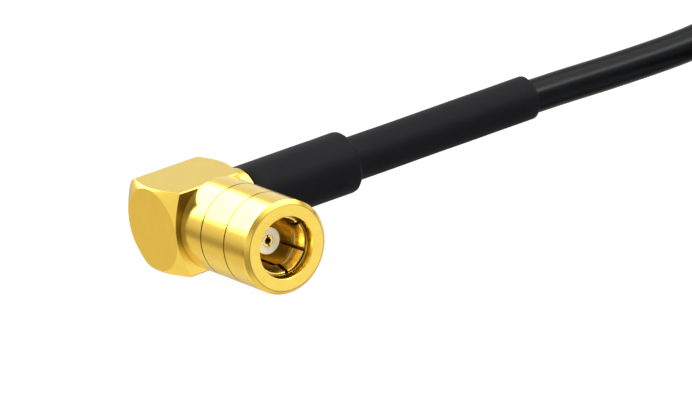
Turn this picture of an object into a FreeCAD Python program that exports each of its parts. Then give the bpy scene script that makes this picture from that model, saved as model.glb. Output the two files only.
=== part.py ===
"""A coaxial jumper: a thin coaxial cable with a right-angle push-on plug at each end.

Frame: origin at the centre of the near plug's mouth, +X out of the mouth, +Y along the cable as
it leaves the plug, +Z up. Each plug lies on its round barrel. Millimetres throughout.
"""
import FreeCAD, Part
import Sketcher
import math
import os

from FreeCAD import Placement, Rotation, Vector

SIZES = [
    ("barrel_radius", 3.625, "round barrel, outside"),
    ("barrel_length", 8.6, "mouth to the front face of the block"),
    ("front_chamfer", 0.3, "outer edge of the mouth face"),
    ("rear_chamfer", 0.12, "shallow turned edge where the barrel meets the block, radial"),
    ("rear_chamfer_run", 0.7, "the same edge, along the barrel"),
    ("groove_one", 2.95, "mouth to the middle of the first groove"),
    ("groove_two", 5.95, "mouth to the middle of the second groove"),
    ("groove_half", 0.14, "half the width of a groove"),
    ("groove_depth", 0.2, "depth of a groove"),
    ("barrel_wall", 1.075, "wall of the barrel round the recess, where the fingers spread"),
    ("lip_height", 0.35, "lip inside the mouth, in front of the recess"),
    ("lip_depth", 0.6, "length of the mouth's taper, on the lip"),
    ("mouth_flare", 0.14, "widening of the taper towards the face"),
    ("recess_start", 0.68, "mouth to the recess"),
    ("shoulder", 0.6, "front face of the block to the shoulder that the spring sleeve seats on"),
    ("rear_hole", 1.6, "bore of the barrel behind that shoulder, radius"),
    ("spigot_radius", 2.7, "spigot of the barrel, pressed into the block"),
    ("spigot_length", 1.6, "length of that spigot"),
    ("finger_tip", 0.8, "mouth to the tips of the spring fingers"),
    ("finger_gap", 0.35, "room of the fingers in the recess"),
    ("finger_edge", 0.12, "wall of a finger at its tip"),
    ("finger_wall", 0.28, "wall of a finger behind the ridge"),
    ("snap_wall", 0.44, "wall of a finger at the snap ridge"),
    ("snap_start", 1.6, "mouth to the front of the ridge"),
    ("snap_end", 1.9, "mouth to the back of the ridge"),
    ("snap_run", 0.25, "slope behind the ridge, along the bore"),
    ("socket_end", 5.6, "mouth to the floor of that bore"),
    ("finger_root", 5.2, "mouth to the closed ends of the slots"),
    ("slot_width", 0.28, "width of a slot between two fingers"),
    ("finger_count", 6, "number of fingers"),
    ("slot_turn", -5.0, "turn of the slots about the barrel, degrees"),
    ("insulator_radius", 1.03, "plastic insulator, front part"),
    ("insulator_front", 2.4, "mouth to the front face of the insulator and contact"),
    ("contact_radius", 0.46, "centre contact, outside"),
    ("contact_hole", 0.25, "hole of the centre contact, radius"),
    ("contact_hole_depth", 2.6, "depth of that hole"),
    ("contact_slit", 0.12, "width of a slit in the centre contact"),
    ("contact_slit_depth", 2.1, "depth of those slits"),
    ("contact_slit_count", 2, "number of slits"),
    ("contact_tail", 0.5, "contact beyond the cable's axis"),
    ("block_half", 3.2, "half the width of the square bar"),
    ("block_tail", 4.15, "barrel's axis to the closed end of the block"),
    ("block_head", 2.85, "barrel's axis to the cable end of the block"),
    ("end_radius", 3.17, "flat circle left on each turned end of the block"),
    ("end_slope", 0.577, "fall of the turned ends, along the bar for each mm outwards"),
    ("cavity_radius", 1.9, "wiring cavity of the block"),
    ("cap_radius", 2.4, "round cap that closes the cavity at the back"),
    ("cap_thickness", 0.8, "thickness of that cap"),
    ("cap_chamfer", 0.1, "outer edge of the cap"),
    ("collar_radius", 2.34, "round collar at the cable end of the block"),
    ("collar_length", 1.35, "length of that collar"),
    ("stem_radius", 1.1, "crimp stem, over its ridges"),
    ("stem_wall", 0.33, "wall of the stem over its bore"),
    ("stem_length", 5.2, "length of the stem"),
    ("ridge_depth", 0.12, "height of the ridges round the stem"),
    ("ridge_pitch", 1.2, "spacing of those ridges"),
    ("ferrule_radius", 1.95, "crimp ferrule, outside"),
    ("ferrule_wall", 0.55, "wall of the ferrule"),
    ("ferrule_length", 8.7, "length of the ferrule"),
    ("jacket_start", 10.2, "barrel's axis to the cut end of the cable's jacket"),
    ("shrink_wall", 0.47, "shrink sleeve over the ferrule, wall"),
    ("shrink_thin_wall", 0.385, "shrink sleeve over the cable, wall"),
    ("shrink_lap", 0.6, "end of the ferrule to the step of the shrink sleeve"),
    ("shrink_round", 0.3, "softened shoulder of that step"),
    ("shrink_end", 30.5, "barrel's axis to the cut end of the shrink sleeve"),
    ("shrink_edge", 0.1, "softened edge of the cut ends"),
    ("cable_radius", 1.325, "cable, outside"),
    ("braid_outer", 1.38, "braid spread over the stem, outside"),
    ("braid_gap", 0.1, "collar to the cut end of the braid"),
    ("dielectric_radius", 0.75, "cable's white core"),
    ("wire_radius", 0.24, "cable's inner wire"),
    ("wire_tail", 0.5, "inner wire past the barrel's axis"),
    ("coil_radius", 12.0, "middle of the cable in the coil"),
    ("coil_start", 56.0, "barrel's axis to where the cable joins the coil"),
    ("coil_exit", 160.0, "place on the coil where the cable leaves it, degrees"),
    ("tail_flat", 4.5, "cable past the coil, on the floor"),
    ("tail_rise", 8.0, "cable past that, rising to the far plug"),
    ("tail_free", 2.0, "level cable before the far shrink sleeve"),
    ("clearance", 0.01, "looseness of a sliding fit, on the radius"),
]
sizes = {name: value for name, value, note in SIZES}

doc = FreeCAD.newDocument("coaxial_jumper")
sheet = doc.addObject("Spreadsheet::Sheet", "Sizes")
for row, (name, value, note) in enumerate(SIZES, start=1):
    sheet.set("A%d" % row, name)
    sheet.set("B%d" % row, str(value))
    sheet.setAlias("B%d" % row, name)
    sheet.set("C%d" % row, note)
doc.recompute()

parts = []


def number(text):
    """The value of a sum of sizes, such as 'block_tail + block_head'."""
    total, sign = 0.0, 1.0
    for word in text.split():
        if word in "+-":
            sign = 1.0 if word == "+" else -1.0
        else:
            total += sign * (sizes[word] if word in sizes else float(word))
            sign = 1.0
    return total


def formula(text):
    """The same sum as an expression on the sheet's cells."""
    return " ".join("Sizes." + word if word in sizes else word for word in text.split())


def plane(body, role):
    return next(feature for feature in body.Origin.OriginFeatures if feature.Role == role)


def outline(body, name, role, corners):
    """A closed sketch of straight lines. Each corner is two sums of sizes."""
    sketch = body.newObject("Sketcher::SketchObject", name)
    sketch.AttachmentSupport = [(plane(body, role), "")]
    sketch.MapMode = "FlatFace"
    points = [Vector(number(across), number(along), 0) for across, along in corners]
    for index, point in enumerate(points):
        sketch.addGeometry(Part.LineSegment(point, points[(index + 1) % len(points)]), False)
    for index in range(len(points)):
        following = (index + 1) % len(points)
        sketch.addConstraint(Sketcher.Constraint("Coincident", index, 2, following, 1))
    for index, (across, along) in enumerate(corners):
        for kind, text, axis in (("DistanceX", across, -2), ("DistanceY", along, -1)):
            if text == "0":
                sketch.addConstraint(Sketcher.Constraint("PointOnObject", index, 1, axis))
                continue
            held = Sketcher.Constraint(kind, -1, 1, index, 1, number(text))
            place = sketch.addConstraint(held)
            sketch.setExpression("Constraints[%d]" % place, formula(text))
    return sketch


def turned(body, name, corners, kind="PartDesign::Revolution"):
    """Turns an outline of (radius, depth) corners about the body's Z axis."""
    sketch = outline(body, name + "_outline", "XZ_Plane", corners)
    feature = body.newObject(kind, name)
    feature.Profile = (sketch, [""])
    feature.ReferenceAxis = (sketch, ["V_Axis"])
    feature.Angle = 360
    sketch.Visibility = False
    return feature


def slots(body, name, corners, width, count):
    """Cuts slots of the given width round the body's Z axis, each from one side."""
    sketch = outline(body, name + "_outline", "XZ_Plane", corners)
    cut = body.newObject("PartDesign::Pocket", name)
    cut.Profile = (sketch, [""])
    cut.SideType = "Symmetric"
    cut.Type = "Length"
    cut.setExpression("Length", formula(width))
    sketch.Visibility = False
    doc.recompute()
    pattern = body.newObject("PartDesign::PolarPattern", name + "_round")
    pattern.Originals = [cut]
    pattern.Axis = (plane(body, "Z_Axis"), [""])
    pattern.Angle = 360
    pattern.setExpression("Occurrences", formula(count))
    body.Tip = pattern
    return pattern


def new_body(label):
    body = doc.addObject("PartDesign::Body", label)
    body.Label = label
    return body


def place(part, plug, local):
    part.Placement = plug.multiply(local)
    parts.append(part)


# Radii inside the barrel, and the depth of its shoulder
RECESS = "barrel_radius - barrel_wall"
LIP = RECESS + " - lip_height"
FINGER = RECESS + " - finger_gap"
SHOULDER = "barrel_length - shoulder"

# The two axes of a plug, from its own frame: depth behind the mouth, and along the cable
INTO_MOUTH = Placement(Vector(0, 0, 0), Rotation(Vector(0, 1, 0), -90))
CABLE_X = -number("barrel_length + block_half")
ALONG_CABLE = Placement(Vector(CABLE_X, 0, 0), Rotation(Vector(1, 0, 0), -90))
ALONG_BLOCK = Placement(
    Vector(CABLE_X, -number("block_tail"), 0), Rotation(Vector(1, 0, 0), -90)
)


def groove(middle):
    """Corners of a groove round the barrel, from its rear edge to its front edge."""
    return [
        ("barrel_radius", middle + " + groove_half"),
        ("barrel_radius - groove_depth", middle),
        ("barrel_radius", middle + " - groove_half"),
    ]


def make_barrel_shell(prefix, plug):
    body = new_body(prefix + "barrel_shell")
    corners = [
        (LIP + " + mouth_flare", "0"),
        (LIP, "lip_depth"),
        (LIP, "recess_start"),
        (RECESS, "recess_start"),
        (RECESS, SHOULDER),
        ("rear_hole", SHOULDER),
        ("rear_hole", "barrel_length + spigot_length"),
        ("spigot_radius", "barrel_length + spigot_length"),
        ("spigot_radius", "barrel_length"),
        ("barrel_radius - rear_chamfer", "barrel_length"),
        ("barrel_radius", "barrel_length - rear_chamfer_run"),
        *groove("groove_two"),
        *groove("groove_one"),
        ("barrel_radius", "front_chamfer"),
        ("barrel_radius - front_chamfer", "0"),
    ]
    turned(body, "barrel", corners)
    place(body, plug, INTO_MOUTH)


def make_spring_sleeve(prefix, plug):
    """The slotted sleeve that grips the mating jack: turned, then slotted into fingers."""
    body = new_body(prefix + "spring_sleeve")
    corners = [
        (FINGER + " - finger_edge", "finger_tip"),
        (FINGER + " - snap_wall", "snap_start"),
        (FINGER + " - snap_wall", "snap_end"),
        (FINGER + " - finger_wall", "snap_end + snap_run"),
        (FINGER + " - finger_wall", "socket_end"),
        ("insulator_radius + clearance", "socket_end"),
        ("insulator_radius + clearance", SHOULDER),
        (RECESS, SHOULDER),
        (RECESS, "finger_root + slot_width"),
        (FINGER, "finger_root + slot_width"),
        (FINGER, "finger_tip"),
    ]
    turned(body, "sleeve", corners)
    doc.recompute()
    cut = [
        ("insulator_radius", "0"),
        ("barrel_radius", "0"),
        ("barrel_radius", "finger_root"),
        ("insulator_radius", "finger_root"),
    ]
    slots(body, "slot", cut, "slot_width", "finger_count")
    turn = Placement(Vector(0, 0, 0), Rotation(Vector(0, 0, 1), number("slot_turn")))
    place(body, plug, INTO_MOUTH.multiply(turn))


def make_front_insulator(prefix, plug):
    body = new_body(prefix + "front_insulator")
    corners = [
        ("contact_radius", "insulator_front"),
        ("contact_radius", "barrel_length + spigot_length"),
        ("rear_hole", "barrel_length + spigot_length"),
        ("rear_hole", SHOULDER),
        ("insulator_radius", SHOULDER),
        ("insulator_radius", "insulator_front"),
    ]
    turned(body, "insulator", corners)
    place(body, plug, INTO_MOUTH)


def make_center_contact(prefix, plug):
    """A socket that takes the jack's pin, slit at the front, slotted at the back for the wire."""
    body = new_body(prefix + "contact_form")
    tail = "barrel_length + block_half + contact_tail"
    corners = [
        ("contact_hole", "insulator_front"),
        ("contact_hole", "insulator_front + contact_hole_depth"),
        ("0", "insulator_front + contact_hole_depth"),
        ("0", tail),
        ("contact_radius", tail),
        ("contact_radius", "insulator_front"),
    ]
    turned(body, "contact", corners)
    doc.recompute()
    cut = [
        ("0", "0"),
        ("contact_radius + contact_radius", "0"),
        ("contact_radius + contact_radius", "insulator_front + contact_slit_depth"),
        ("0", "insulator_front + contact_slit_depth"),
    ]
    slots(body, "slit", cut, "contact_slit", "contact_slit_count")
    body.Placement = INTO_MOUTH
    wire_seat = doc.addObject("Part::Box", prefix + "wire_seat")
    wire_seat.setExpression("Length", formula("contact_tail + wire_radius + clearance"))
    wire_seat.setExpression("Width", "4 * Sizes.contact_radius")
    wire_seat.setExpression("Height", "2 * (Sizes.wire_radius + Sizes.clearance)")
    wire_seat.Placement = Placement(
        Vector(
            CABLE_X - number("contact_tail"),
            -2 * number("contact_radius"),
            -number("wire_radius + clearance"),
        ),
        Rotation(),
    )
    contact = doc.addObject("Part::Cut", prefix + "center_contact")
    contact.Base = body
    contact.Tool = wire_seat
    contact.Label = prefix + "center_contact"
    place(contact, plug, Placement())


def side_cylinder(name, radius, front, length):
    """A cylinder along the barrel's axis; front is its depth behind the mouth."""
    tool = doc.addObject("Part::Cylinder", name)
    tool.setExpression("Radius", formula(radius))
    tool.setExpression("Height", formula(length))
    tool.Placement = Placement(Vector(-number(front), 0, 0), INTO_MOUTH.Rotation)
    return tool


def make_body_block(prefix, plug):
    """A square bar turned at both ends, with the collar and the ridged crimp stem."""
    bar = new_body(prefix + "bar_form")
    corners = [
        ("0 - block_half", "0 - block_half"),
        ("block_half", "0 - block_half"),
        ("block_half", "block_half"),
        ("0 - block_half", "block_half"),
    ]
    square = outline(bar, "square", "XY_Plane", corners)
    pad = bar.newObject("PartDesign::Pad", "bar")
    pad.Profile = (square, [""])
    pad.setExpression("Length", formula("block_tail + block_head"))
    square.Visibility = False
    doc.recompute()
    past_corners = 1.1 * math.sqrt(2) * number("block_half")
    for name, end, inward in (("tail_turning", 0.0, 1.0), ("head_turning", pad.Length.Value, -1.0)):
        cone = doc.addObject("Part::Feature", prefix + name)
        small, large = number("end_radius"), past_corners
        fall = (large - small) * number("end_slope")
        ring = [
            Vector(small, 0, end),
            Vector(large, 0, end),
            Vector(large, 0, end + inward * fall),
            Vector(small, 0, end),
        ]
        face = Part.Face(Part.makePolygon(ring))
        cone.Shape = face.revolve(Vector(0, 0, 0), Vector(0, 0, 1), 360)
        cone.Placement = ALONG_BLOCK
    head = "block_tail + block_head"
    stem_start = head + " + collar_length"
    profile = [
        ("stem_radius - stem_wall", head + " - clearance"),
        ("collar_radius", head + " - clearance"),
        ("collar_radius", stem_start),
    ]
    along = stem_start
    for ridge in range(int(sizes["stem_length"] / sizes["ridge_pitch"])):
        profile.append(("stem_radius - ridge_depth", along))
        along += " + ridge_pitch"
        profile.append(("stem_radius", along))
    profile += [
        ("stem_radius", stem_start + " + stem_length"),
        ("stem_radius - stem_wall", stem_start + " + stem_length"),
    ]
    turned(bar, "stem", profile)
    doc.recompute()
    bore = [
        ("0", "block_tail"),
        ("stem_radius - stem_wall", "block_tail"),
        ("stem_radius - stem_wall", stem_start + " + stem_length + clearance"),
        ("0", stem_start + " + stem_length + clearance"),
    ]
    turned(bar, "bore", bore, "PartDesign::Groove")
    bar.Placement = ALONG_BLOCK
    block_depth = "block_half + block_half"
    tools = [
        doc.getObject(prefix + "tail_turning"),
        doc.getObject(prefix + "head_turning"),
        side_cylinder(prefix + "spigot_bore", "spigot_radius", "barrel_length", "spigot_length"),
        side_cylinder(prefix + "cavity", "cavity_radius", "barrel_length", block_depth),
        side_cylinder(
            prefix + "cap_seat",
            "cap_radius",
            "barrel_length + " + block_depth + " - cap_thickness",
            "cap_thickness",
        ),
    ]
    cutters = doc.addObject("Part::MultiFuse", prefix + "block_cutters")
    cutters.Shapes = tools
    block = doc.addObject("Part::Cut", prefix + "body_block")
    block.Base = bar
    block.Tool = cutters
    block.Label = prefix + "body_block"
    place(block, plug, Placement())


def make_access_cap(prefix, plug):
    body = new_body(prefix + "access_cap")
    back = "barrel_length + block_half + block_half"
    corners = [
        ("0", back + " - cap_thickness"),
        ("cap_radius", back + " - cap_thickness"),
        ("cap_radius", back + " - cap_chamfer"),
        ("cap_radius - cap_chamfer", back),
        ("0", back),
    ]
    turned(body, "cap", corners)
    place(body, plug, INTO_MOUTH)


STEM_FOOT = "block_head + collar_length"


def tube_part(label, plug, inner, outer, start, end):
    """A plain tube or rod about the cable's axis."""
    body = new_body(label)
    turned(body, "tube", [(inner, start), (outer, start), (outer, end), (inner, end)])
    place(body, plug, ALONG_CABLE)


def make_crimp(prefix, plug):
    """The ferrule, and the stripped end of the cable that it clamps on the stem."""
    ferrule_bore = "ferrule_radius - ferrule_wall"
    tube_part(
        prefix + "crimp_ferrule", plug, ferrule_bore, "ferrule_radius",
        STEM_FOOT, STEM_FOOT + " + ferrule_length",
    )
    tube_part(
        prefix + "cable_braid", plug, "stem_radius", "braid_outer",
        STEM_FOOT + " + braid_gap", "jacket_start",
    )
    tube_part(
        prefix + "cable_dielectric", plug, "wire_radius", "dielectric_radius",
        "cavity_radius", "jacket_start",
    )
    wire = new_body(prefix + "cable_wire")
    length = "wire_tail + jacket_start"
    turned(wire, "rod", [("0", "0"), ("wire_radius", "0"), ("wire_radius", length), ("0", length)])
    start = Placement(Vector(0, 0, -number("wire_tail")), Rotation())
    place(wire, plug, ALONG_CABLE.multiply(start))


def make_shrink_sleeve(prefix, plug):
    """One stepped sleeve, shrunk over the ferrule and on along the cable."""
    body = new_body(prefix + "shrink_sleeve")
    ferrule_end = STEM_FOOT + " + ferrule_length"
    step = ferrule_end + " + shrink_lap"
    large = "ferrule_radius + shrink_wall"
    small = "cable_radius + shrink_thin_wall"
    corners = [
        ("ferrule_radius", STEM_FOOT),
        (large + " - shrink_edge", STEM_FOOT),
        (large, STEM_FOOT + " + shrink_edge"),
        (large, step + " - shrink_round"),
        (large + " - shrink_round", step),
        (small, step),
        (small, "shrink_end - shrink_edge"),
        (small + " - shrink_edge", "shrink_end"),
        ("cable_radius", "shrink_end"),
        ("cable_radius", ferrule_end),
        ("ferrule_radius", ferrule_end),
    ]
    turned(body, "sleeve", corners)
    place(body, plug, ALONG_CABLE)


def make_plug(prefix, plug):
    make_body_block(prefix, plug)
    make_barrel_shell(prefix, plug)
    make_spring_sleeve(prefix, plug)
    make_front_insulator(prefix, plug)
    make_center_contact(prefix, plug)
    make_access_cap(prefix, plug)
    make_crimp(prefix, plug)
    make_shrink_sleeve(prefix, plug)


# The cable's route: straight from the near plug into the coil, a turn, and out to the far plug
FLOOR = -number("barrel_radius")
CABLE = number("cable_radius")
LOOSE = number("clearance")
LOW = FLOOR + CABLE + LOOSE
COIL_CENTRE = Vector(CABLE_X + number("coil_radius"), number("coil_start"), 0)
EXIT_ANGLE = math.radians(number("coil_exit"))
EXIT_WAY = Vector(math.sin(EXIT_ANGLE), -math.cos(EXIT_ANGLE), 0)
TURN = number("coil_radius")
EXIT_POINT = COIL_CENTRE + Vector(TURN * math.cos(EXIT_ANGLE), TURN * math.sin(EXIT_ANGLE), LOW)
# A straight cable that touches the turn is well clear of its outside after this length
STUB = math.sqrt(4 * TURN * CABLE) + CABLE


def route_wire(points):
    """Straight runs joined by tangent arcs, as large as the shorter run of each corner allows."""
    edges, start = [], points[0]
    for before, corner, after in zip(points, points[1:], points[2:]):
        back, on = before - corner, after - corner
        shorter = min(back.Length, on.Length)
        turn = math.pi - back.getAngle(on)
        trim = 0.45 * shorter
        first = corner + Vector(back).normalize() * trim
        last = corner + Vector(on).normalize() * trim
        inside = (Vector(back).normalize() + Vector(on).normalize()).normalize()
        radius = trim / math.tan(turn / 2)
        middle = corner + inside * (radius / math.cos(turn / 2) - radius)
        print("cable bend radius %.1f mm" % radius)
        edges += [Part.LineSegment(start, first).toShape(), Part.Arc(first, middle, last).toShape()]
        start = last
    edges.append(Part.LineSegment(start, points[-1]).toShape())
    return Part.Wire(edges)


def make_tube(label, points):
    wire = route_wire(points)
    way = points[1] - points[0]
    ring = Part.Wire(Part.makeCircle(CABLE, points[0], way))
    tube = doc.addObject("Part::Feature", label)
    tube.Label = label
    tube.Shape = wire.makePipeShell([ring], True, False)
    section = math.pi * CABLE**2
    print("%s: length %.1f mm, volume %.4f of section times length" % (
        label, wire.Length, tube.Shape.Volume / (section * wire.Length)))
    tube.Placement = Placement()
    parts.append(tube)
    return wire.Length


def make_coil():
    """The outer shape of the turn, with the stubs where the cable joins and leaves it."""
    ring = new_body("coil_ring")
    side = "cable_radius + clearance"
    top = " + ".join([side] * 4)
    corners = [
        ("coil_radius - cable_radius - clearance", "0"),
        ("coil_radius + " + side, "0"),
        ("coil_radius + " + side, top),
        ("coil_radius - cable_radius - clearance", top),
    ]
    turned(ring, "ring", corners)
    ring.Placement = Placement(COIL_CENTRE + Vector(0, 0, FLOOR), Rotation())
    stubs = []
    joins = Placement(Vector(CABLE_X, number("coil_start") - STUB, 0), ALONG_CABLE.Rotation)
    leaves = Placement(EXIT_POINT, Rotation(Vector(0, 0, 1), EXIT_WAY))
    for name, start in (("entry_stub", joins), ("exit_stub", leaves)):
        stub = doc.addObject("Part::Cylinder", name)
        stub.setExpression("Radius", formula("cable_radius"))
        stub.setExpression(
            "Height", "sqrt(4 * Sizes.coil_radius * Sizes.cable_radius) + Sizes.cable_radius"
        )
        stub.Placement = start
        stubs.append(stub)
    coil = doc.addObject("Part::MultiFuse", "cable_coil")
    coil.Shapes = [ring, *stubs]
    coil.Label = "cable_coil"
    parts.append(coil)


def make_cable():
    """Makes the cable's solids and gives the far plug's placement at its other end."""
    lead = [
        Vector(CABLE_X, number("jacket_start"), 0),
        Vector(CABLE_X, number("coil_start") - STUB, 0),
    ]
    make_tube("cable_lead", lead)
    make_coil()
    leaves = EXIT_POINT + EXIT_WAY * STUB
    rises = leaves + EXIT_WAY * number("tail_flat")
    levels = rises + EXIT_WAY * number("tail_rise") + Vector(0, 0, -LOW)
    ends = levels + EXIT_WAY * number("tail_free + shrink_end - jacket_start")
    make_tube("cable_tail", [leaves, rises, levels, ends])
    turn = Rotation(Vector(0, 0, 1), math.degrees(EXIT_ANGLE))
    jacket_end = turn.multVec(Vector(CABLE_X, number("jacket_start"), 0))
    return Placement(ends - jacket_end, turn)


make_plug("", Placement())
far_plug = make_cable()
make_plug("far_", far_plug)
doc.recompute()

for item in doc.Objects:
    if {"Invalid", "Error"} & set(item.State):
        raise RuntimeError("%s failed: %s" % (item.Label, item.State))
for part in parts:
    if part.Shape.isNull() or not part.Shape.isValid():
        raise RuntimeError("%s has no valid shape" % part.Label)

os.makedirs("parts", exist_ok=True)
for part in parts:
    part.Shape.exportStep(os.path.join("parts", part.Label + ".step"))
print("%d parts written" % len(parts))
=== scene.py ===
"""A coaxial jumper with two right-angle push-on plugs, dressed for a studio photograph.

The pieces are modelled in millimetres and put into the mesh in metres. A plug is made in its own
frame: +X out of its mouth, +Y along its cable, +Z up, with the mouth's centre at the origin.
"""

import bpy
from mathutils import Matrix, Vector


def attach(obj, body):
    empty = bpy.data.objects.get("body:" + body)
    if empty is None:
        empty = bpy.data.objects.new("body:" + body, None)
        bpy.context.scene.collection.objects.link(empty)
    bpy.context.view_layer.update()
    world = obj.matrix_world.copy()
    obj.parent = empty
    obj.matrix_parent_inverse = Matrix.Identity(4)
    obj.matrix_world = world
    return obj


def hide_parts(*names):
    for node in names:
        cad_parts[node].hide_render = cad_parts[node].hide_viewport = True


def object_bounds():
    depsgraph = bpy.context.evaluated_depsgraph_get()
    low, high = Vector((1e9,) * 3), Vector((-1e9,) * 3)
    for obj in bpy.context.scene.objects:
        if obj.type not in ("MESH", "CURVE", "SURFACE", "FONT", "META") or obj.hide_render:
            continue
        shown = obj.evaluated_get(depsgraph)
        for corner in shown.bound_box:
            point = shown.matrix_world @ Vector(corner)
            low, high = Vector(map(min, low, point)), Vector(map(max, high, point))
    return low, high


bl_info = {
    "name": "Coaxial jumper with right-angle plugs",
    "version": (1, 0, 0),
    "blender": (4, 5, 0),
    "location": "3D Viewport > Sidebar > Jumper",
    "description": "Makes the plugs, the sleeves, the cable and the studio of a coaxial jumper",
    "category": "Add Mesh",
}

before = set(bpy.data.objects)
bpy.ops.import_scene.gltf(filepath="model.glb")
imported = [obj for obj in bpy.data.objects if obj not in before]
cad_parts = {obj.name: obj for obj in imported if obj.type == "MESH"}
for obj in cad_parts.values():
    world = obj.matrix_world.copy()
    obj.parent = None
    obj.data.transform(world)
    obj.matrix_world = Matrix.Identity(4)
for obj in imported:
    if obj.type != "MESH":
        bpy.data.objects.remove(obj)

import math
from types import SimpleNamespace

import bmesh
import bpy
from mathutils import Matrix, Vector, noise

CAD_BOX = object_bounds()
MM = 0.001
FLOOR = CAD_BOX[0][2]
FULL = 2 * math.pi
WHITE = (1.0, 1.0, 1.0, 1.0)
PLACE = "place_in_plug"
FINISH = "finish_"


# Sizes and colours


def length(name, note, millimetres):
    return bpy.props.FloatProperty(
        name=name, description=note, default=millimetres * MM, unit="LENGTH", precision=5
    )


def colour(name, note, value):
    return bpy.props.FloatVectorProperty(
        name=name, description=note, default=value, size=3, subtype="COLOR", min=0.0, max=1.0
    )


class JumperPlugSizes(bpy.types.PropertyGroup):
    """Lengths of one plug."""

    barrel_radius: length("Barrel radius", "Round barrel, outside", 3.56)
    barrel_length: length("Barrel length", "Mouth to the front face of the block", 8.6)
    front_chamfer: length("Front chamfer", "Outer edge of the mouth face", 0.3)
    rear_fall: length("Rear fall", "Slight taper of the barrel towards the block", 0.03)
    rear_run: length("Rear run", "Length of that taper", 0.75)
    groove_one: length("First groove", "Mouth to the middle of the first groove", 2.95)
    groove_two: length("Second groove", "Mouth to the middle of the second groove", 5.95)
    groove_half: length("Groove half width", "Half the width of a groove", 0.07)
    groove_depth: length("Groove depth", "Depth of a groove", 0.2)
    mouth_radius: length("Mouth radius", "Mouth at the face", 2.34)
    lip_radius: length("Lip radius", "Inner end of the mouth's taper", 2.2)
    lip_depth: length("Lip depth", "Length of the mouth's taper", 0.6)
    recess_radius: length("Recess radius", "Bore behind the lip", 2.55)
    recess_start: length("Recess start", "Mouth to the recess", 0.68)
    recess_end: length("Recess end", "Mouth to the shoulder of the spring sleeve", 8.0)
    rear_hole: length("Rear hole", "Bore of the barrel behind the shoulder, radius", 1.6)
    spigot_radius: length("Spigot radius", "Spigot of the barrel in the block", 2.7)
    spigot_length: length("Spigot length", "Length of that spigot", 1.6)
    finger_tip: length("Finger tip", "Mouth to the tips of the spring fingers", 0.8)
    finger_outer: length("Finger radius", "Outside of the fingers", 2.2)
    finger_mouth: length("Finger mouth", "Inner edge of the finger tips, radius", 2.08)
    snap_radius: length("Snap radius", "Snap ridge inside the fingers", 1.76)
    snap_start: length("Snap start", "Mouth to the front of the ridge", 1.6)
    snap_end: length("Snap end", "Mouth to the back of the ridge", 1.9)
    snap_run: length("Snap run", "Slope behind the ridge, along the bore", 0.25)
    socket_radius: length("Socket radius", "Bore of the spring sleeve", 1.92)
    socket_end: length("Socket end", "Mouth to the floor of that bore", 5.6)
    finger_root: length("Finger root", "Mouth to the closed ends of the slots", 5.2)
    slot_width: length("Slot width", "Width of a slot between two fingers", 0.28)
    insulator_radius: length("Insulator radius", "Plastic insulator, front part", 1.03)
    insulator_front: length("Insulator front", "Mouth to the insulator", 2.4)
    contact_radius: length("Contact radius", "Centre contact, outside", 0.46)
    contact_hole: length("Contact hole", "Hole of the centre contact, radius", 0.25)
    contact_hole_depth: length("Contact hole depth", "Depth of that hole", 2.6)
    contact_slit: length("Contact slit", "Width of a slit in the contact", 0.12)
    contact_slit_depth: length("Contact slit depth", "Depth of the slits", 2.1)
    contact_tail: length("Contact tail", "Contact beyond the cable's axis", 0.5)
    cable_back: length("Cable's axis", "Mouth to the cable's axis, along the barrel", 11.8)
    block_half: length("Block half width", "Half the width of the square bar", 3.3)
    block_tail: length("Block tail", "Barrel's axis to the closed end of the block", 3.95)
    block_head: length("Block head", "Barrel's axis to the cable end of the block", 2.85)
    front_round: length("Front rounding", "Long edges of the block towards the mouth", 0.13)
    back_round: length("Back rounding", "Long edges of the block away from the mouth", 1.0)
    end_radius: length("End circle", "Flat circle left on a turned end, radius", 3.19)
    cavity_radius: length("Cavity radius", "Wiring cavity of the block", 1.9)
    cap_radius: length("Cap radius", "Round cap that closes the cavity", 2.4)
    cap_thickness: length("Cap thickness", "Thickness of that cap", 0.8)
    collar_radius: length("Collar radius", "Round collar at the cable end", 2.34)
    collar_length: length("Collar length", "Length of that collar", 1.35)
    stem_radius: length("Stem radius", "Crimp stem over its ridges", 1.1)
    stem_bore: length("Stem bore", "Bore of the stem, radius", 0.77)
    stem_length: length("Stem length", "Length of the stem", 5.2)
    ridge_depth: length("Ridge depth", "Depth of the grooves round the stem", 0.12)
    ridge_pitch: length("Ridge pitch", "Spacing of those grooves", 1.2)
    ferrule_radius: length("Ferrule radius", "Crimp ferrule, outside", 1.95)
    ferrule_length: length("Ferrule length", "Length of the ferrule", 8.7)
    shrink_wall: length("Sleeve wall", "Shrink sleeve over the ferrule", 0.47)
    shrink_thin_wall: length("Thin sleeve wall", "Shrink sleeve over the cable", 0.385)
    shrink_step: length("Sleeve step", "Barrel's axis to the step of the sleeve", 13.5)
    shrink_end: length("Sleeve end", "Barrel's axis to the cut end of the sleeve", 30.5)
    wire_radius: length("Wire radius", "Cable's inner wire", 0.24)


class JumperPlugCounts(bpy.types.PropertyGroup):
    """Numbers of like features of one plug."""

    fingers: bpy.props.IntProperty(
        name="Fingers", description="Number of spring fingers", default=6, min=2
    )
    slot_turn: bpy.props.FloatProperty(
        name="Slot turn",
        description="Turn of the finger slots about the barrel",
        default=math.radians(-5.0),
        subtype="ANGLE",
    )
    ridges: bpy.props.IntProperty(
        name="Ridges", description="Number of ridges on the crimp stem", default=4, min=0
    )


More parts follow.
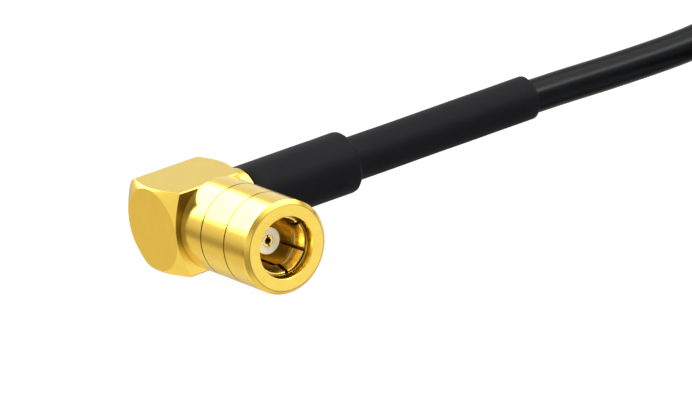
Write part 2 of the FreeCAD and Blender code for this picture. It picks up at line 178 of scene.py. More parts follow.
class JumperCableSizes(bpy.types.PropertyGroup):
    """Lengths of the cable and of its put-away coil."""

    cable_radius: length("Cable radius", "Cable, outside", 1.325)
    jacket_start: length("Jacket start", "Barrel's axis to the cut end of the jacket", 10.2)
    coil_radius: length("Coil radius", "Middle of the cable in the turn", 12.0)
    coil_start: length("Coil start", "Barrel's axis to where the cable joins the coil", 56.0)
    lead_sag: length("Lead sag", "Cable's fall past the sleeve", 0.36)
    upper_turn: length("Upper turn", "Height of the turn's start over the barrel's axis", 0.35)
    tail_flat: length("Tail on the floor", "Cable past the coil, on the floor", 4.5)
    tail_rise: length("Rising tail", "Cable rising to the far plug", 8.0)
    tail_free: length("Free tail", "Level cable before the far sleeve", 2.0)


class JumperFinish(bpy.types.PropertyGroup):
    """Colours of the finishes."""

    gold: colour("Gold", "Gold plating", (0.95, 0.66, 0.11))
    # Paler than the gold: partly the spring plating's own colour, partly painted light inside the
    # shaded mouth
    spring: colour("Spring gold", "Plating inside the mouth", (0.98, 0.77, 0.28))
    # Also painted on the barrel's front chamfer as shade
    gold_deep: colour("Deep gold", "Where the plating is a little redder", (0.90, 0.56, 0.075))
    # Painted shade: this dark brown is painted into the groove floors, round the rim of the mouth
    # face and on the block's face beside the barrel
    painted_shade: colour("Grooves", "Bottoms of the grooves", (0.12, 0.07, 0.02))
    insulator: colour("Insulator", "White insulator", (1.0, 0.97, 0.80))
    shrink: colour("Sleeve", "Black shrink sleeve", (0.0022, 0.0017, 0.0024))
    jacket: colour("Jacket", "Black cable jacket", (0.0016, 0.0017, 0.0018))
    braid: colour("Braid", "Tinned braid", (0.62, 0.61, 0.58))
    copper: colour("Copper", "Bare inner wire", (0.80, 0.40, 0.25))


class JumperStudio(bpy.types.PropertyGroup):
    """The camera's place, as the photograph has it."""

    azimuth: bpy.props.FloatProperty(
        name="Azimuth", description="Camera's turn round the object",
        default=math.radians(57.506), subtype="ANGLE",
    )
    elevation: bpy.props.FloatProperty(
        name="Elevation", description="Camera's height angle",
        default=math.radians(19.45), subtype="ANGLE",
    )
    roll: bpy.props.FloatProperty(
        name="Roll", description="Camera's roll", default=math.radians(-7.667), subtype="ANGLE"
    )
    aside: length("Aside", "Camera's shift to its right", 4.309)
    above: length("Above", "Camera's shift upwards", 3.443)
    distance: length("Distance", "Camera's distance", 557.69)
    lens: bpy.props.FloatProperty(
        name="Lens", description="Focal length in millimetres", default=398.775
    )


GROUPS = {
    "jumper_plug": JumperPlugSizes,
    "jumper_counts": JumperPlugCounts,
    "jumper_cable": JumperCableSizes,
    "jumper_finish": JumperFinish,
    "jumper_studio": JumperStudio,
}


def millimetres(*groups):
    """The lengths of property groups, in millimetres."""
    return SimpleNamespace(
        **{name: getattr(group, name) / MM for group in groups for name in group.__annotations__}
    )


def sizes(context):
    return millimetres(context.scene.jumper_plug, context.scene.jumper_cable)


# Shader maths


class Shade:
    """A socket of a node tree. Sums of these and of numbers add Math nodes."""

    def __init__(self, tree, socket=None):
        self.tree = tree
        self.socket = socket

    def node(self, kind, settings=None, inputs=None, output=0):
        made = self.tree.nodes.new(kind)
        for name, value in (settings or {}).items():
            if name == "stops":
                fill_ramp(made.color_ramp, value)
            else:
                setattr(made, name, value)
        for name, value in (inputs or {}).items():
            if isinstance(value, Shade):
                self.tree.links.new(value.socket, made.inputs[name])
            else:
                made.inputs[name].default_value = value
        return Shade(self.tree, made.outputs[output] if made.outputs else None)

    def sum(self, operation, first, second=0.0):
        return self.node("ShaderNodeMath", {"operation": operation}, {0: first, 1: second})

    def __add__(self, other):
        return self.sum("ADD", self, other)

    __radd__ = __add__

    def __sub__(self, other):
        return self.sum("SUBTRACT", self, other)

    def __rsub__(self, other):
        return self.sum("SUBTRACT", other, self)

    def __mul__(self, other):
        return self.sum("MULTIPLY", self, other)

    __rmul__ = __mul__

    def __truediv__(self, other):
        return self.sum("DIVIDE", self, other)


def fill_ramp(ramp, stops):
    """Stops are (place, colour); the ramp has two to begin with."""
    while len(ramp.elements) < len(stops):
        ramp.elements.new(1.0)
    for element, (place, tint) in zip(ramp.elements, stops):
        element.position = place
        element.color = four(tint)


def smooth(value, low, high):
    """0 at low, 1 at high, with a soft start and end."""
    return value.node(
        "ShaderNodeMapRange",
        {"interpolation_type": "SMOOTHSTEP"},
        {0: value, 1: low, 2: high},
    )


def blend(factor, first, second):
    return factor.node(
        "ShaderNodeMix", {"data_type": "RGBA"}, {0: factor, 6: first, 7: second}, output=2
    )


def along(vector, direction):
    """How far a vector reaches along a direction."""
    return vector.node(
        "ShaderNodeVectorMath", {"operation": "DOT_PRODUCT"}, {0: vector, 1: direction}, output=1
    )


def mottle(vector, scale, detail=2.0, roughness=0.5):
    return vector.node(
        "ShaderNodeTexNoise", None,
        {"Vector": vector, "Scale": scale, "Detail": detail, "Roughness": roughness},
    )


def stretched(vector, factors):
    return vector.node(
        "ShaderNodeVectorMath", {"operation": "MULTIPLY"}, {0: vector, 1: factors}
    )


def four(rgb):
    return (rgb[0], rgb[1], rgb[2], 1.0)


# Finishes


def new_finish(name):
    """A material with an empty tree, and that tree's first Shade."""
    material = bpy.data.materials.new(FINISH + name)
    material.use_nodes = True
    material.node_tree.nodes.clear()
    return material, Shade(material.node_tree)


def finish_with(material, start, constants, links):
    """Ends a material in a Principled shader: constants sit on its sockets, links vary."""
    surface = start.node("ShaderNodeBsdfPrincipled", None, {**constants, **links})
    start.node("ShaderNodeOutputMaterial", None, {"Surface": surface})
    return material


def raised(height, strength, distance):
    return height.node(
        "ShaderNodeBump", None, {"Strength": strength, "Distance": distance, "Height": height}
    )


def plug_place(start):
    """The place in the plug's own frame, in metres."""
    return start.node("ShaderNodeAttribute", {"attribute_name": PLACE}, None, output="Vector")


def object_place(start):
    return start.node("ShaderNodeTexCoord", None, None, output="Object")


# Where the gold changes and where shade is painted on it: depth behind the mouth and reach from the
# barrel's axis, in metres
FACE_DEPTH = (0.00001, 0.00005)
RIM_DEPTH = (0.00001, 0.00004)
RIM_REACH = (0.00320, 0.00323)
CHAMFER_DEPTH = (0.00025, 0.00030)
CHAMFER_REACH = (0.0032, 0.0033)
GROOVES_DEPTH = (0.0006, 0.0007)
GROOVE_FLOOR = (0.0030, 0.0031)
GROOVE_TOP = (0.00345, 0.00359)
# Painted shade on the block's front face beside the barrel
JOINT_SHADE_DEPTH = (0.00861, 0.00866)
JOINT_SHADE_SIDE = (0.0, 0.001)
JOINT_SHADE_HEIGHT = (-0.0020, 0.0005)
BEHIND, ASIDE, UP = (-1.0, 0.0, 0.0), (0.0, 1.0, 0.0), (0.0, 0.0, 1.0)


def gold_turned(colours):
    """Bright turned gold: rings round the barrel, a grained mouth face, and painted shade: dark
    groove floors, a dark line round the rim of the mouth face and a deeper gold on the chamfer.
    """
    material, start = new_finish("gold_turned")
    place = plug_place(start)
    depth, across, up = along(place, BEHIND), along(place, ASIDE), along(place, UP)
    rings = mottle(stretched(place, (60000.0, 300.0, 300.0)), 1.0, 3.0, 0.6)
    patches = mottle(place, 900.0, 3.0, 0.55)
    grain = mottle(place, 16000.0, 2.0, 0.7)
    reach = start.sum("SQRT", across * across + up * up)
    face = 1.0 - smooth(depth, *FACE_DEPTH)
    # Painted shade: the groove floors turn dark brown and lose their metal
    groove_shade = smooth(depth, *GROOVES_DEPTH) * smooth(reach, *GROOVE_FLOOR)
    groove_shade = groove_shade * (1.0 - smooth(reach, *GROOVE_TOP))
    # Painted shade: a dark line round the rim of the mouth face, and a deeper, rougher gold on the
    # chamfer
    rim_shade = (1.0 - smooth(depth, *RIM_DEPTH)) * smooth(reach, *RIM_REACH)
    slope = (1.0 - smooth(depth, *CHAMFER_DEPTH)) * smooth(reach, *CHAMFER_REACH) * (1.0 - rim_shade)
    tone = blend(
        smooth(patches, 0.35, 0.7) * 0.35, four(colours.gold), four(colours.gold_deep)
    )
    rough = 0.12 + 0.04 * patches + 0.04 * rings + face * (0.14 + 0.06 * grain)
    height = rings * (1.0 - face) * 0.35 + grain * face * 0.5
    return finish_with(
        material, start,
        {"Specular IOR Level": 0.1},
        {
            "Base Color": blend(
                groove_shade + 0.6 * rim_shade,
                blend(slope * 0.6, tone, four(colours.gold_deep)),
                four(colours.painted_shade),
            ),
            "Metallic": 1.0 - groove_shade,
            "Roughness": rough + 0.1 * slope,
            "Normal": raised(height, 0.25, 0.000006),
        },
    )


def gold_milled(colours):
    """Satin gold of the block: faint milling marks, and painted shade, a dark patch on its front
    face beside the barrel.
    """
    material, start = new_finish("gold_milled")
    place = plug_place(start)
    marks = mottle(stretched(place, (1500.0, 22000.0, 1500.0)), 1.0, 3.0, 0.6)
    patches = mottle(place, 700.0, 4.0, 0.6)
    grain = mottle(place, 14000.0, 2.0, 0.7)
    tone = blend(smooth(patches, 0.3, 0.75) * 0.3, four(colours.gold), four(colours.gold_deep))
    # Painted shade: a dark patch on the block's front face, on one side of the barrel and above its
    # lower part
    joint_shade = 1.0 - smooth(along(place, BEHIND), *JOINT_SHADE_DEPTH)
    joint_shade = joint_shade * (1.0 - smooth(along(place, ASIDE), *JOINT_SHADE_SIDE))
    joint_shade = joint_shade * smooth(along(place, UP), *JOINT_SHADE_HEIGHT)
    return finish_with(
        material, start,
        {"Metallic": 1.0},
        {
            "Base Color": blend(joint_shade * 0.7, tone, four(colours.painted_shade)),
            "Roughness": 0.19 + 0.03 * patches + 0.03 * marks,
            "Normal": raised(marks * 0.5 + grain * 0.5, 0.1, 0.000004),
        },
    )


def gold_spring(colours):
    """Plated spring metal of the fingers, paler than the barrel's gold: partly its own plating,
    partly painted light that lifts the shaded inside of the mouth.
    """
    material, start = new_finish("gold_spring")
    place = plug_place(start)
    rings = mottle(stretched(place, (40000.0, 400.0, 400.0)), 1.0, 2.0, 0.6)
    patches = mottle(place, 1500.0, 3.0, 0.55)
    return finish_with(
        material, start,
        {"Metallic": 1.0},
        {
            "Base Color": blend(
                smooth(patches, 0.3, 0.7), four(colours.spring), four(colours.gold)
            ),
            "Roughness": 0.16 + 0.08 * rings + 0.05 * patches,
            "Normal": raised(rings, 0.2, 0.000005),
        },
    )


def plain_metal(name, light, dark, roughness, scale):
    """Metal of a hidden piece: soft tonal patches and a fine grain."""
    material, start = new_finish(name)
    place = object_place(start)
    patches = mottle(place, scale, 3.0, 0.55)
    grain = mottle(place, 12.0 * scale, 2.0, 0.6)
    return finish_with(
        material, start,
        {"Metallic": 1.0},
        {
            "Base Color": blend(smooth(patches, 0.3, 0.7), four(light), four(dark)),
            "Roughness": roughness + 0.1 * grain,
            "Normal": raised(grain, 0.2, 0.000005),
        },
    )


def white_plastic(name, tint):
    """Waxy white plastic, slightly cloudy."""
    material, start = new_finish(name)
    place = object_place(start)
    cloud = mottle(place, 900.0, 3.0, 0.5)
    grain = mottle(place, 9000.0, 2.0, 0.6)
    shade = tuple(0.86 * channel for channel in tint)
    return finish_with(
        material, start,
        {"Specular IOR Level": 0.35, "Subsurface Weight": 0.15, "Subsurface Radius": (0.0004,) * 3},
        {
            "Base Color": blend(smooth(cloud, 0.3, 0.7), four(tint), four(shade)),
            "Roughness": 0.42 + 0.12 * grain,
            "Normal": raised(grain, 0.15, 0.00001),
        },
    )


def tinned_braid(colours):
    """Woven tinned wires: two crossing sets of strands."""
    material, start = new_finish("tinned_braid")
    place = object_place(start)
    one, other = (
        start.node(
            "ShaderNodeTexWave", {"bands_direction": "DIAGONAL"},
            {"Vector": way, "Scale": 900.0, "Distortion": 0.4},
        )
        for way in (place, stretched(place, (-1.0, 1.0, 1.0)))
    )
    weave = one * 0.5 + other * 0.5
    dark = tuple(0.45 * channel for channel in colours.braid)
    return finish_with(
        material, start,
        {"Metallic": 1.0},
        {
            "Base Color": blend(weave, four(dark), four(colours.braid)),
            "Roughness": 0.3 + 0.15 * weave,
            "Normal": raised(weave, 0.6, 0.00003),
        },
    )


def shrink_black(colours):
    """Matte black shrink tube: fine pebbled grain and soft lengthwise pulls."""
    material, start = new_finish("shrink_black")
    place = plug_place(start)
    grain = mottle(place, 6500.0, 3.0, 0.65)
    pulls = mottle(stretched(place, (1200.0, 160.0, 1200.0)), 1.0, 3.0, 0.5)
    pale = tuple(1.9 * channel for channel in colours.shrink)
    return finish_with(
        material, start,
        {"Specular IOR Level": 0.085},
        {
            "Base Color": blend(smooth(grain, 0.45, 0.8) * 0.7, four(colours.shrink), four(pale)),
            "Roughness": 0.5 + 0.12 * pulls + 0.08 * grain,
            "Normal": raised(grain * 0.7 + pulls * 0.6, 0.35, 0.00003),
        },
    )


def cable_black(colours):
    """Satin black jacket with faint cloudy patches and a fine grain."""
    material, start = new_finish("cable_black")
    place = object_place(start)
    grain = mottle(place, 5000.0, 2.0, 0.6)
    cloud = mottle(place, 260.0, 3.0, 0.5)
    pale = tuple(1.7 * channel for channel in colours.jacket)
    return finish_with(
        material, start,
        {"Specular IOR Level": 0.075},
        {
            "Base Color": blend(smooth(cloud, 0.35, 0.7), four(colours.jacket), four(pale)),
            "Roughness": 0.27 + 0.06 * cloud + 0.05 * grain,
            "Normal": raised(grain, 0.12, 0.00001),
        },
    )


def studio_floor():
    """A floor that glows nearly white, so that only a trace of a shadow is left on it."""
    material, start = new_finish("studio_floor")
    place = object_place(start)
    paper = mottle(place, 40.0, 3.0, 0.5)
    return finish_with(
        material, start,
        {
            "Specular IOR Level": 0.0,
            "Roughness": 1.0,
            "Emission Color": WHITE,
            "Emission Strength": 0.95,
        },
        {"Base Color": blend(paper, (0.070, 0.070, 0.070, 1.0), (0.075, 0.075, 0.075, 1.0))},
    )


# Mesh tools


MERGE = 0.0005  # millimetres
TIDY = 0.0002  # millimetres
SOFT_STEPS = 3


def turned(corners, steps=96, closed=True):
    """Turns an outline of (radius, along, softening) corners about Z."""
    shape = bmesh.new()
    points = [(shape.verts.new((corner[0], 0.0, corner[1])), corner) for corner in corners]
    verts = [vert for vert, corner in points]
    for first, second in zip(verts, verts[1:] + verts[:1] if closed else verts[1:]):
        shape.edges.new((first, second))
    softs = sorted({corner[2] for corner in corners if len(corner) > 2})
    for soft in softs:
        chosen = [vert for vert, corner in points if len(corner) > 2 and corner[2] == soft]
        bmesh.ops.bevel(
            shape, geom=chosen, offset=soft, offset_type="OFFSET", segments=SOFT_STEPS, profile=0.5,
            affect="VERTICES", clamp_overlap=True, material=-1,
        )
    bmesh.ops.spin(
        shape, geom=shape.verts[:] + shape.edges[:], cent=(0, 0, 0), axis=(0, 0, 1),
        dvec=(0, 0, 0), angle=FULL, steps=steps, use_merge=True,
    )
    bmesh.ops.remove_doubles(shape, verts=shape.verts[:], dist=MERGE)
    bmesh.ops.recalc_face_normals(shape, faces=shape.faces[:])
    return shape


def bar(width, height, depth, middle):
    """A box of the given sizes, for cutting."""
    shape = bmesh.new()
    bmesh.ops.create_cube(shape, size=1.0)
    bmesh.ops.scale(shape, vec=(width, height, depth), verts=shape.verts[:])
    bmesh.ops.translate(shape, vec=middle, verts=shape.verts[:])
    return shape


def stand_in(name, shape):
    """An object in the scene that holds a bmesh."""
    mesh = bpy.data.meshes.new(name)
    shape.to_mesh(mesh)
    shape.free()
    made = bpy.data.objects.new(name, mesh)
    bpy.context.scene.collection.objects.link(made)
    return made


def carved(shape, tools, within=None):
    """The shape less its tools, and inside another form if one is given, as a new bmesh."""
    whole = stand_in("carving", shape)
    cutters = [stand_in("cutter", tool) for tool in [*tools, *([within] if within else [])]]
    for index, cutter in enumerate(cutters):
        cut = whole.modifiers.new("cut", "BOOLEAN")
        cut.operation = "DIFFERENCE" if index < len(tools) else "INTERSECT"
        cut.solver = "EXACT"
        cut.object = cutter
    result = bmesh.new()
    result.from_object(whole, bpy.context.evaluated_depsgraph_get())
    for spent in [whole, *cutters]:
        mesh = spent.data
        bpy.data.objects.remove(spent)
        bpy.data.meshes.remove(mesh)
    bmesh.ops.remove_doubles(result, verts=result.verts[:], dist=TIDY)
    bmesh.ops.dissolve_degenerate(result, edges=result.edges[:], dist=TIDY)
    return result


INTO_MOUTH = Matrix.Rotation(math.radians(-90.0), 4, "Y")


def cable_x(size):
    """The cable's axis, behind the mouth."""
    return -size.cable_back


def along_cable(size):
    """Lays a turned piece along the cable, from the barrel's axis."""
    return Matrix.Translation((cable_x(size), 0, 0)) @ Matrix.Rotation(
        math.radians(-90.0), 4, "X"
    )


def piece(name, shape, plug, node, material, soften_angle=32.0):
    """Puts a bmesh, in a plug's frame and in millimetres, into an object of the row frame."""
    layer = shape.verts.layers.float_vector.new(PLACE)
    for vert in shape.verts:
        vert[layer] = vert.co * MM
    bmesh.ops.transform(shape, matrix=Matrix.Scale(MM, 4) @ plug, verts=shape.verts[:])
    limit = math.radians(soften_angle)
    for edge in shape.edges:
        edge.smooth = len(edge.link_faces) == 2 and edge.calc_face_angle(0.0) < limit
    for face in shape.faces:
        face.smooth = True
    mesh = bpy.data.meshes.new(name)
    shape.to_mesh(mesh)
    shape.free()
    mesh.materials.append(material)
    made = bpy.data.objects.new(name, mesh)
    bpy.context.scene.collection.objects.link(made)
    even = made.modifiers.new("even_shading", "WEIGHTED_NORMAL")
    even.keep_sharp = True
    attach(made, "root")
    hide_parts(node)
    return made


def material_of(name, maker, *arguments):
    """The finish of that name, made the first time that it is asked for."""
    return bpy.data.materials.get(FINISH + name) or maker(*arguments)


# The cable's route


# Where the lead's points stand: from the sleeve's end, then before the turn, in millimetres
SAG_START = 9.0
SAG_END, RISE_END, LEVEL_END = 9.0, 5.0, 2.1
# The part of the turn that stays level, and the part over which it comes down
TURN_LEVEL, TURN_FALL = 0.15, 0.65
TURN_STEPS, TURN_STEP = 19, math.radians(20.0)


def coil_points(size):
    """Control points of the turn: level to begin with, then down to the floor."""
    low = size.cable_radius + FLOOR / MM
    middle = Vector((cable_x(size) + size.coil_radius, size.coil_start, 0.0))
    reach = size.coil_radius / math.cos(0.5 * TURN_STEP)
    points = []
    for index in range(TURN_STEPS):
        down = min(max((index / TURN_STEPS - TURN_LEVEL) / TURN_FALL, 0.0), 1.0)
        angle = math.pi - (index + 0.5) * TURN_STEP
        height = size.upper_turn + (low - size.upper_turn) * down
        points.append(
            middle + Vector((reach * math.cos(angle), reach * math.sin(angle), height))
        )
    last = math.pi - TURN_STEPS * TURN_STEP
    leave = middle + Vector(
        (size.coil_radius * math.cos(last), size.coil_radius * math.sin(last), low)
    )
    return points, leave, Vector((math.sin(last), -math.cos(last), 0.0)), last


def cable_route(size):
    """The points of the cable's line, and the far plug's placement at its end."""
    x = cable_x(size)
    turn, leave, way, angle = coil_points(size)
    lead = [
        Vector((x, size.jacket_start, 0.0)),
        Vector((x, size.shrink_end, 0.0)),
        Vector((x, size.shrink_end + SAG_START, -size.lead_sag)),
        Vector((x, size.coil_start - SAG_END, -size.lead_sag)),
        Vector((x, size.coil_start - RISE_END, size.upper_turn)),
        Vector((x, size.coil_start - LEVEL_END, size.upper_turn)),
    ]
    clear = math.sqrt(4.0 * size.coil_radius * size.cable_radius) + size.cable_radius
    flat = leave + way * (clear + size.tail_flat)
    level = flat + way * size.tail_rise
    level.z = 0.0
    end = level + way * (size.tail_free + size.shrink_end - size.jacket_start)
    turned_about = Matrix.Rotation(angle, 4, "Z")
    cut = turned_about @ lead[0]
    far = Matrix.Translation(end - cut) @ turned_about
    return lead + turn + [leave + way * LEVEL_END, flat, level, end], far


def both_plugs(context):
    """Prefix and placement of the near and of the far plug."""
    return (("", Matrix.Identity(4)), ("far_", cable_route(sizes(context))[1]))


# Pieces


def turned_pieces(context, corners, name, node, slot, material, **turning):
    """The same turned piece in both plugs, laid along their barrels."""
    for prefix, plug in both_plugs(context):
        shape = turned(corners, **turning)
        bmesh.ops.transform(shape, matrix=INTO_MOUTH, verts=shape.verts[:])
        piece(prefix + name, shape, plug, prefix + node, material)


def groove(size, middle):
    """Corners of a square groove in the barrel's outline."""
    half, floor = size.groove_half, size.barrel_radius - size.groove_depth
    return [
        (size.barrel_radius, middle + half),
        (floor, middle + half),
        (floor, middle - half),
        (size.barrel_radius, middle - half),
    ]


class JUMPER_OT_barrels(bpy.types.Operator):
    """Make the round barrels, with their grooves, tapered mouth and rear spigot"""

    bl_idname = "jumper.barrels"
    bl_label = "Barrels"

    def execute(self, context):
        size = sizes(context)
        gold = material_of("gold_turned", gold_turned, context.scene.jumper_finish)
        back = size.barrel_length
        corners = [
            (size.mouth_radius, 0.0, 0.05),
            (size.lip_radius, size.lip_depth, 0.03),
            (size.lip_radius, size.recess_start),
            (size.recess_radius, size.recess_start),
            (size.recess_radius, size.recess_end),
            (size.rear_hole, size.recess_end),
            (size.rear_hole, back + size.spigot_length),
            (size.spigot_radius, back + size.spigot_length),
            (size.spigot_radius, back),
            (size.barrel_radius - size.rear_fall, back),
            (size.barrel_radius, back - size.rear_run),
            *groove(size, size.groove_two),
            *groove(size, size.groove_one),
            (size.barrel_radius, size.front_chamfer),
            (size.barrel_radius - size.front_chamfer, 0.0),
        ]
        turned_pieces(
            context, corners, "barrel", "barrel_shell", "gold_barrel", gold, steps=144
        )
        return {"FINISHED"}


class JUMPER_OT_spring_sleeves(bpy.types.Operator):
    """Make the slotted spring sleeves with their snap ridge"""

    bl_idname = "jumper.spring_sleeves"
    bl_label = "Spring sleeves"

    def execute(self, context):
        size = sizes(context)
        counts = context.scene.jumper_counts
        gold = material_of("gold_spring", gold_spring, context.scene.jumper_finish)
        collar = size.finger_root + size.slot_width
        bore = size.insulator_radius + 0.01
        corners = [
            (size.finger_mouth, size.finger_tip, 0.03),
            (size.snap_radius, size.snap_start, 0.06),
            (size.snap_radius, size.snap_end, 0.06),
            (size.socket_radius, size.snap_end + size.snap_run, 0.06),
            (size.socket_radius, size.socket_end),
            (bore, size.socket_end, 0.03),
            (bore, size.recess_end),
            (size.recess_radius, size.recess_end),
            (size.recess_radius, collar),
            (size.finger_outer, collar),
            (size.finger_outer, size.finger_tip, 0.03),
        ]
        reach = 2.0 * size.recess_radius
        for prefix, plug in both_plugs(context):
            shape = turned(corners, steps=96)
            tools = []
            for index in range(counts.fingers):
                tool = bar(
                    reach, size.slot_width, 2.0 * size.finger_root,
                    (size.insulator_radius + 0.5 * reach, 0.0, 0.0),
                )
                turn = Matrix.Rotation(counts.slot_turn + FULL * index / counts.fingers, 4, "Z")
                bmesh.ops.transform(tool, matrix=turn, verts=tool.verts[:])
                tools.append(tool)
            shape = carved(shape, tools)
            bmesh.ops.transform(shape, matrix=INTO_MOUTH, verts=shape.verts[:])
            piece(
                prefix + "spring_fingers", shape, plug, prefix + "spring_sleeve",
                gold,
            )
        return {"FINISHED"}


class JUMPER_OT_insulators(bpy.types.Operator):
    """Make the white insulators round the centre contacts"""

    bl_idname = "jumper.insulators"
    bl_label = "Insulators"

    def execute(self, context):
        size = sizes(context)
        colours = context.scene.jumper_finish
        white = material_of("white_insulator", white_plastic, "white_insulator", colours.insulator)
        back = size.barrel_length + size.spigot_length
        corners = [
            (size.contact_radius + 0.005, size.insulator_front, 0.03),
            (size.contact_radius + 0.005, back),
            (size.rear_hole, back),
            (size.rear_hole, size.recess_end),
            (size.insulator_radius, size.recess_end),
            (size.insulator_radius, size.insulator_front, 0.06),
        ]
        turned_pieces(
            context, corners, "insulator", "front_insulator", "white_insulator", white, steps=72
        )
        return {"FINISHED"}


class JUMPER_OT_contacts(bpy.types.Operator):
    """Make the slit centre contacts, slotted at the back for the wire"""

    bl_idname = "jumper.contacts"
    bl_label = "Contacts"

    def execute(self, context):
        size = sizes(context)
        gold = material_of("gold_spring", gold_spring, context.scene.jumper_finish)
        front = size.insulator_front
        tail = size.cable_back + size.contact_tail
        corners = [
            (0.0, front + size.contact_hole_depth),
            (size.contact_hole, front + size.contact_hole_depth),
            (size.contact_hole, front, 0.06),
            (size.contact_radius, front, 0.05),
            (size.contact_radius, tail, 0.04),
            (0.0, tail),
        ]
        wide = 4.0 * size.contact_radius
        seat = size.contact_tail + size.wire_radius
        for prefix, plug in both_plugs(context):
            shape = turned(corners, steps=48, closed=False)
            slit = bar(wide, size.contact_slit, 2.0 * size.contact_slit_depth, (0, 0, front))
            wire_seat = bar(2.0 * size.wire_radius, wide, 2.0 * seat, (0.0, 0.0, tail))
            shape = carved(shape, [slit, wire_seat])
            bmesh.ops.transform(shape, matrix=INTO_MOUTH, verts=shape.verts[:])
            piece(
                prefix + "contact", shape, plug, prefix + "center_contact", gold
            )
        return {"FINISHED"}


END_SLOPE = math.radians(30.0)
EDGE_BREAK = 0.05  # millimetres
SHARP = math.radians(35.0)
FRONT_STEPS, BACK_STEPS = 4, 10


def square_bar(size):
    """The drawn bar that the block is turned from, longer than the block."""
    long = 4.0 * (size.block_tail + size.stem_length)
    middle = -(size.barrel_length + size.block_half)
    shape = bar(2.0 * size.block_half, long, 2.0 * size.block_half, (middle, 0, 0))
    for side, softening, steps in (
        (1.0, size.front_round, FRONT_STEPS), (-1.0, size.back_round, BACK_STEPS)
    ):
        edges = [
            edge for edge in shape.edges
            if abs(edge.verts[0].co.y - edge.verts[1].co.y) > 0.5 * long
            and side * (edge.verts[0].co.x - middle) > size.block_half - 0.001
        ]
        bmesh.ops.bevel(
            shape, geom=edges, offset=softening, offset_type="OFFSET", segments=steps,
            profile=0.5, affect="EDGES", material=-1,
        )
    return shape


class JUMPER_OT_blocks(bpy.types.Operator):
    """Make the square blocks with turned ends, collar, ridged stem and wiring cavity"""

    bl_idname = "jumper.blocks"
    bl_label = "Blocks"

    def execute(self, context):
        size = sizes(context)
        ridges = context.scene.jumper_counts.ridges
        gold = material_of("gold_milled", gold_milled, context.scene.jumper_finish)
        wide = 1.1 * math.sqrt(2.0) * size.block_half
        fall = (wide - size.end_radius) * math.tan(END_SLOPE)
        foot = size.block_head + size.collar_length
        corners = [
            (0.0, -size.block_tail),
            (size.end_radius, -size.block_tail),
            (wide, fall - size.block_tail),
            (wide, size.block_head - fall),
            (size.end_radius, size.block_head),
            (size.collar_radius, size.block_head),
            (size.collar_radius, foot, 0.06),
        ]
        for ridge in range(ridges):
            step = foot + ridge * size.ridge_pitch
            corners += [
                (size.stem_radius - size.ridge_depth, step),
                (size.stem_radius - size.ridge_depth, step + size.ridge_depth),
                (size.stem_radius, step + 2.0 * size.ridge_depth),
                (size.stem_radius, step + size.ridge_pitch),
            ]
        corners += [
            (size.stem_radius, foot + size.stem_length, 0.04),
            (size.stem_bore, foot + size.stem_length),
            (size.stem_bore, 0.0),
            (0.0, 0.0),
        ]
        middle = cable_x(size)
        back = size.barrel_length + 2.0 * size.block_half
        cavity = [
            (0.0, size.barrel_length - 0.5),
            (size.spigot_radius, size.barrel_length - 0.5),
            (size.spigot_radius, size.barrel_length + size.spigot_length),
            (size.cavity_radius, size.barrel_length + size.spigot_length),
            (size.cavity_radius, back - size.cap_thickness),
            (size.cap_radius, back - size.cap_thickness),
            (size.cap_radius, back + 0.5),
            (0.0, back + 0.5),
        ]
        for prefix, plug in both_plugs(context):
            shape = turned(corners, steps=128, closed=False)
            bmesh.ops.transform(shape, matrix=along_cable(size), verts=shape.verts[:])
            shape = carved(shape, [], square_bar(size))
            outer = [
                edge for edge in shape.edges
                if len(edge.link_faces) == 2
                and edge.calc_face_angle(0.0) > SHARP
                and min(
                    math.hypot(vert.co.x - middle, vert.co.z) for vert in edge.verts
                ) > size.end_radius - 0.05
            ]
            bmesh.ops.bevel(
                shape, geom=outer, offset=EDGE_BREAK, offset_type="OFFSET", segments=2,
                profile=0.5, affect="EDGES", clamp_overlap=True, material=-1,
            )
            tool = turned(cavity, steps=96, closed=False)
            bmesh.ops.transform(tool, matrix=INTO_MOUTH, verts=tool.verts[:])
            shape = carved(shape, [tool])
            piece(
                prefix + "block", shape, plug, prefix + "body_block", gold, 28.0
            )
        return {"FINISHED"}


class JUMPER_OT_caps(bpy.types.Operator):
    """Make the round caps that close the wiring cavities"""

    bl_idname = "jumper.caps"
    bl_label = "Caps"

    def execute(self, context):
        size = sizes(context)
        gold = material_of("gold_milled", gold_milled, context.scene.jumper_finish)
        back = size.barrel_length + 2.0 * size.block_half
        corners = [
            (0.0, back - size.cap_thickness),
            (size.cap_radius - 0.005, back - size.cap_thickness),
            (size.cap_radius - 0.005, back - 0.1),
            (size.cap_radius - 0.1, back, 0.03),
            (0.0, back),
        ]
        turned_pieces(
            context, corners, "cap", "access_cap", "gold_block", gold, closed=False
        )
        return {"FINISHED"}


# The sleeve's surface: spacing of its rings, height and offset of its unevenness, millimetres
RING_GAP = 0.9
DENT, DENT_OFFSET = 0.03, 0.012


